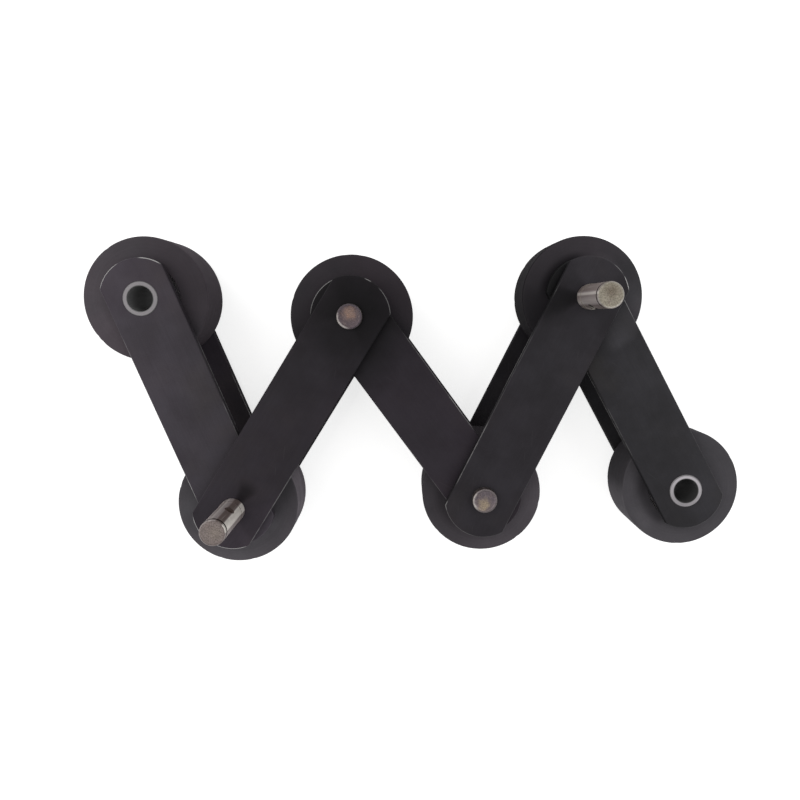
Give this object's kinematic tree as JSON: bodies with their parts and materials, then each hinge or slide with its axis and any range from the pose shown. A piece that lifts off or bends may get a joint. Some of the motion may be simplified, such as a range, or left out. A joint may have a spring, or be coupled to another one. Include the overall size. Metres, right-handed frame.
{
  "type": "escalator step chain",
  "caption": "Length of heavy roller chain for an escalator, with black link plates, large rollers on ball bearings at its joints, and long step pins that stand out of one side.",
  "frame": {"origin": "under the centre of the chain, in the plane of the rear ends of its pins, which it lies on", "axes": "+Z along the pins, from the rear plates to the front plates and the free ends of the step pins; +X along the zigzag from joint 1 to joint 6; +Y across it"},
  "size_m": [0.3956, 0.198, 0.0973],
  "materials": {
    "blackened_steel": "dark oiled oxide, rubbed bright at the edges",
    "turned_steel": "turned",
    "bush_steel": "ground",
    "pin_steel": "turned and ground",
    "roller_tyre": "matt, scuffed",
    "roller_hub": "moulded, matt",
    "bearing_steel": "ground",
    "balls_and_cage": "polished balls in a moulded cage",
    "seal_rubber": "matt"
  },
  "bodies": {
    "link_1": {"link_1_inner_plate_front": "blackened_steel", "link_1_inner_plate_rear": "blackened_steel", "link_1_spacers": "turned_steel", "bush_1": "bush_steel", "bush_2": "bush_steel", "roller_1_bearing_inner_ring": "bearing_steel", "roller_2_bearing_inner_ring": "bearing_steel"},
    "link_3": {"link_3_inner_plate_front": "blackened_steel", "link_3_inner_plate_rear": "blackened_steel", "link_3_spacers": "turned_steel", "bush_3": "bush_steel", "bush_4": "bush_steel", "roller_3_bearing_inner_ring": "bearing_steel", "roller_4_bearing_inner_ring": "bearing_steel"},
    "link_5": {"link_5_inner_plate_front": "blackened_steel", "link_5_inner_plate_rear": "blackened_steel", "link_5_spacers": "turned_steel", "bush_5": "bush_steel", "bush_6": "bush_steel", "roller_5_bearing_inner_ring": "bearing_steel", "roller_6_bearing_inner_ring": "bearing_steel"},
    "link_2": {"link_2_outer_plate_front": "blackened_steel", "link_2_outer_plate_rear": "blackened_steel", "step_pin_2": "pin_steel", "link_pin_3": "pin_steel"},
    "link_4": {"link_4_outer_plate_front": "blackened_steel", "link_4_outer_plate_rear": "blackened_steel", "link_pin_4": "pin_steel", "step_pin_5": "pin_steel"},
    "roller_1": {"roller_1_tyre": "roller_tyre", "roller_1_hub": "roller_hub", "roller_1_bearing_outer_ring": "bearing_steel", "roller_1_seals": "seal_rubber"},
    "ball_cage_1": {"roller_1_balls_and_cage": "balls_and_cage"},
    "roller_2": {"roller_2_tyre": "roller_tyre", "roller_2_hub": "roller_hub", "roller_2_bearing_outer_ring": "bearing_steel", "roller_2_seals": "seal_rubber"},
    "ball_cage_2": {"roller_2_balls_and_cage": "balls_and_cage"},
    "roller_3": {"roller_3_tyre": "roller_tyre", "roller_3_hub": "roller_hub", "roller_3_bearing_outer_ring": "bearing_steel", "roller_3_seals": "seal_rubber"},
    "ball_cage_3": {"roller_3_balls_and_cage": "balls_and_cage"},
    "roller_4": {"roller_4_tyre": "roller_tyre", "roller_4_hub": "roller_hub", "roller_4_bearing_outer_ring": "bearing_steel", "roller_4_seals": "seal_rubber"},
    "ball_cage_4": {"roller_4_balls_and_cage": "balls_and_cage"},
    "roller_5": {"roller_5_tyre": "roller_tyre", "roller_5_hub": "roller_hub", "roller_5_bearing_outer_ring": "bearing_steel", "roller_5_seals": "seal_rubber"},
    "ball_cage_5": {"roller_5_balls_and_cage": "balls_and_cage"},
    "roller_6": {"roller_6_tyre": "roller_tyre", "roller_6_hub": "roller_hub", "roller_6_bearing_outer_ring": "bearing_steel", "roller_6_seals": "seal_rubber"},
    "ball_cage_6": {"roller_6_balls_and_cage": "balls_and_cage"}
  },
  "joints": [
    {"name": "chain_joint_2", "type": "hinge", "parent": "link_2", "child": "link_1", "pos_m": [-0.11099, -0.0625, 0.0321], "axis": [0, 0, 1], "range_deg": [-20.82, 151.18]},
    {"name": "chain_joint_3", "type": "hinge", "parent": "link_3", "child": "link_2", "pos_m": [-0.04101, 0.05099, 0.0321], "axis": [0, 0, -1], "range_deg": [-34.73, 137.27]},
    {"name": "chain_joint_4", "type": "hinge", "parent": "link_3", "child": "link_4", "pos_m": [0.03749, -0.05678, 0.0321], "axis": [0, 0, -1], "range_deg": [-29.61, 142.39]},
    {"name": "chain_joint_5", "type": "hinge", "parent": "link_4", "child": "link_5", "pos_m": [0.09707, 0.0625, 0.0321], "axis": [0, 0, 1], "range_deg": [-22.33, 149.67]},
    {"name": "roller_spin_1", "type": "hinge", "parent": "link_1", "child": "roller_1", "pos_m": [-0.16128, 0.06098, 0.0321], "axis": [0, 0, 1], "continuous": true},
    {"name": "ball_cage_spin_1", "type": "hinge", "parent": "link_1", "child": "ball_cage_1", "pos_m": [-0.16128, 0.06098, 0.0321], "axis": [0, 0, 1], "continuous": true},
    {"name": "roller_spin_2", "type": "hinge", "parent": "link_1", "child": "roller_2", "pos_m": [-0.11099, -0.0625, 0.0321], "axis": [0, 0, 1], "continuous": true},
    {"name": "ball_cage_spin_2", "type": "hinge", "parent": "link_1", "child": "ball_cage_2", "pos_m": [-0.11099, -0.0625, 0.0321], "axis": [0, 0, 1], "continuous": true},
    {"name": "roller_spin_3", "type": "hinge", "parent": "link_3", "child": "roller_3", "pos_m": [-0.04101, 0.05099, 0.0321], "axis": [0, 0, 1], "continuous": true},
    {"name": "ball_cage_spin_3", "type": "hinge", "parent": "link_3", "child": "ball_cage_3", "pos_m": [-0.04101, 0.05099, 0.0321], "axis": [0, 0, 1], "continuous": true},
    {"name": "roller_spin_4", "type": "hinge", "parent": "link_3", "child": "roller_4", "pos_m": [0.03749, -0.05678, 0.0321], "axis": [0, 0, 1], "continuous": true},
    {"name": "ball_cage_spin_4", "type": "hinge", "parent": "link_3", "child": "ball_cage_4", "pos_m": [0.03749, -0.05678, 0.0321], "axis": [0, 0, 1], "continuous": true},
    {"name": "roller_spin_5", "type": "hinge", "parent": "link_5", "child": "roller_5", "pos_m": [0.09707, 0.0625, 0.0321], "axis": [0, 0, 1], "continuous": true},
    {"name": "ball_cage_spin_5", "type": "hinge", "parent": "link_5", "child": "ball_cage_5", "pos_m": [0.09707, 0.0625, 0.0321], "axis": [0, 0, 1], "continuous": true},
    {"name": "roller_spin_6", "type": "hinge", "parent": "link_5", "child": "roller_6", "pos_m": [0.16128, -0.05435, 0.0321], "axis": [0, 0, 1], "continuous": true},
    {"name": "ball_cage_spin_6", "type": "hinge", "parent": "link_5", "child": "ball_cage_6", "pos_m": [0.16128, -0.05435, 0.0321], "axis": [0, 0, 1], "continuous": true}
  ],
  "couplings": [
    {"joint": "ball_cage_spin_1", "follows": "roller_spin_1", "ratio": 0.61851},
    {"joint": "ball_cage_spin_2", "follows": "roller_spin_2", "ratio": 0.61851},
    {"joint": "ball_cage_spin_3", "follows": "roller_spin_3", "ratio": 0.61851},
    {"joint": "ball_cage_spin_4", "follows": "roller_spin_4", "ratio": 0.61851},
    {"joint": "ball_cage_spin_5", "follows": "roller_spin_5", "ratio": 0.61851},
    {"joint": "ball_cage_spin_6", "follows": "roller_spin_6", "ratio": 0.61851}
  ]
}
